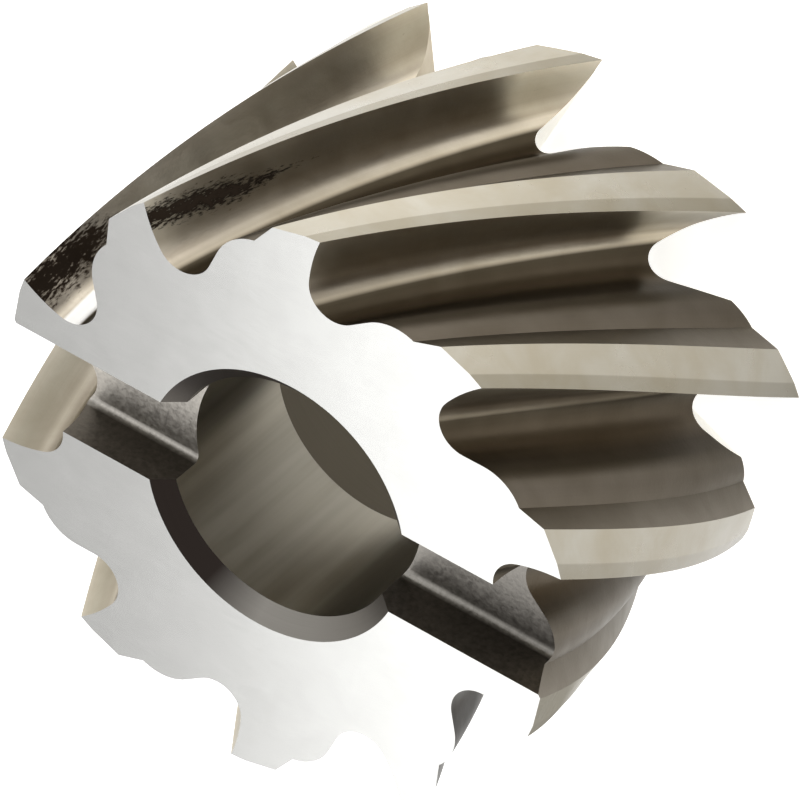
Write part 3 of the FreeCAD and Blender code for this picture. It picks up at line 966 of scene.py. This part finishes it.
def slot_finish():
    """The milled drive slot: a rough floor with painted light and shade along it, a painted highlight on
    its corner fillets, and dark walls.
    """
    finish = Finish("milled_slot", 0.42)
    grain = finish.patches(0.00045, 2.6)
    parts = finish.make.add("ShaderNodeSeparateXYZ", {0: finish.place})
    lift = finish.number("SUBTRACT", parts.outputs["Z"], (WIDTH - SLOT_DEPTH) * MM)
    height = finish.number("DIVIDE", lift, SLOT_DEPTH * MM)
    # The light stop at 0.03 is a painted highlight on the fillet between floor and wall
    shade = finish.ramp(height, [
        (0.0, (0.36, 0.34, 0.31)),
        (0.006, (0.36, 0.34, 0.31)),
        (0.03, (0.52, 0.495, 0.455)),
        (0.07, (0.42, 0.40, 0.36)),
        (0.16, (0.10, 0.088, 0.072)),
        (1.0, (0.14, 0.122, 0.10)),
    ])
    shade = finish.times(shade, grain, 0.35)
    # Painted light and shade along the floor: lighter at one end, darker at the other
    painted_light_along_floor = finish.rescaled(parts.outputs["X"], -0.025, 0.025, 1.35, 0.62)
    on_floor = finish.band(height, 0.0, 0.04, 0.08)
    finish.colour(finish.times(shade, painted_light_along_floor, on_floor))
    finish.rough(finish.number("MULTIPLY_ADD", grain, 0.14, 0.36))
    finish.bump(grain, 0.000015, 0.6)
    return finish.material


def end_finish():
    """The ground end teeth: gashes, clearance flats and the dished front."""
    finish = Finish("ground_end_teeth", 0.27)
    drawn = finish.lines(finish.place, (1500.0, 1500.0, 120.0), 0.8)
    shade = finish.mix(finish.patches(0.004, 1.6), (0.86, 0.84, 0.775), (0.93, 0.91, 0.85))
    finish.colour(finish.times(shade, drawn, 0.12))
    finish.bump(drawn, 0.00001, 0.5)
    return finish.material


def make_cutter():
    """The cutter's visible piece, which stands for the CAD node."""
    outline = tooth_edges()
    tools = {
        "Bore tool": make_bore_tool(),
        "Slot tool": make_slot_tool(),
        "Relief tool": make_relief_tool(),
        "Gash tool": make_gash_tool(),
    }
    bare = bpy.data.materials.new("bare_steel")
    mesh = made_by_tree(outline, fluted_cutter_tree(), {**tools, "Material": bare})
    for tool in tools.values():
        bpy.data.objects.remove(tool)
    mesh.name = "milled_cutter"
    kinds, stretches, bounds = sort_faces(mesh)
    mark_edges(mesh, kinds, stretches)

    GROUPS["lines"] = grinding_lines_group()
    GROUPS["patches"] = cloudiness_group()
    GROUPS["unwound"] = unwound_turn_group()
    mesh.materials.clear()
    finishes = [
        flute_finish(bounds),
        land_finish(bounds),
        rear_face_finish(),
        bore_finish(),
        chamfer_finish(),
        recess_finish(),
        slot_finish(),
        end_finish(),
    ]
    for finish in finishes:
        mesh.materials.append(finish)
    mesh.polygons.foreach_set("material_index", kinds.astype(np.int32))
    mesh.update()
    bpy.data.materials.remove(bare)

    cutter = bpy.data.objects.new("milled_cutter", mesh)
    bpy.context.scene.collection.objects.link(cutter)
    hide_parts(NODE)
    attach(cutter, BODY)


def make_floor():
    """A plain pale floor under the end teeth."""
    side = 3000
    corners = [(-side, -side, 0), (side, -side, 0), (side, side, 0), (-side, side, 0)]
    floor = mesh_object("floor", corners, [(0, 1, 2, 3)])
    paint = bpy.data.materials.new("pale_floor")
    paint.use_nodes = True
    shader = paint.node_tree.nodes["Principled BSDF"]
    shader.inputs["Base Color"].default_value = (0.98, 0.98, 0.975, 1)
    shader.inputs["Roughness"].default_value = 0.9
    shader.inputs["Specular IOR Level"].default_value = 0.1
    shader.inputs["Emission Color"].default_value = (1, 1, 1, 1)
    shader.inputs["Emission Strength"].default_value = 0.5
    floor.data.materials.append(paint)


def make_soft_light(name, place, aim, width, height, power, turn=0.0):
    """A rectangular soft light that faces a point, turned about its own axis."""
    lamp = bpy.data.lights.new(name, "AREA")
    lamp.shape = "RECTANGLE"
    lamp.size = width
    lamp.size_y = height
    lamp.energy = power
    made = bpy.data.objects.new(name, lamp)
    made.location = place
    made.rotation_mode = "QUATERNION"
    facing = (Vector(aim) - Vector(place)).to_track_quat("-Z", "Y")
    made.rotation_quaternion = facing @ Quaternion((0, 0, 1), math.radians(turn))
    made.visible_camera = False
    bpy.context.scene.collection.objects.link(made)


def make_lights():
    """An even pale room, a soft box mirrored in the rear face and a small lamp by the teeth."""
    world = bpy.data.worlds.new("pale_room")
    world.use_nodes = True
    room = world.node_tree.nodes["Background"]
    room.inputs["Color"].default_value = (1.0, 0.995, 0.985, 1)
    room.inputs["Strength"].default_value = 0.95
    bpy.context.scene.world = world
    make_soft_light("face_light", (-0.028, -0.206, 0.275), (-0.028, -0.206, 0),
                    width=0.2, height=0.34, power=0.47, turn=9)
    make_soft_light("edge_light", (-0.014, 0.052, 0.05), (-0.014, 0.052, 0),
                    width=0.03, height=0.03, power=0.028)


def make_camera():
    """The photograph's viewpoint: a long lens from above, rolled so that the axis points down left."""
    lens = bpy.data.cameras.new("photo_camera")
    lens.lens = FOCAL_LENGTH
    lens.sensor_width = SENSOR
    lens.clip_start = 0.01
    forward = (CAMERA_AIM - CAMERA_PLACE).normalized()
    level = forward.cross(Vector((0, 0, 1))).normalized()
    raised = level.cross(forward)
    right = level * cos(CAMERA_ROLL) + raised * sin(CAMERA_ROLL)
    up = right.cross(forward)
    camera = bpy.data.objects.new("photo_camera", lens)
    bpy.context.scene.collection.objects.link(camera)
    turn = Matrix((right, up, -forward)).transposed().to_4x4()
    camera.matrix_world = Matrix.Translation(CAMERA_PLACE) @ turn
    bpy.context.scene.camera = camera


make_cutter()
make_floor()
make_lights()
make_camera()
bpy.context.scene.view_settings.view_transform = "Standard"
bpy.context.view_layer.update()
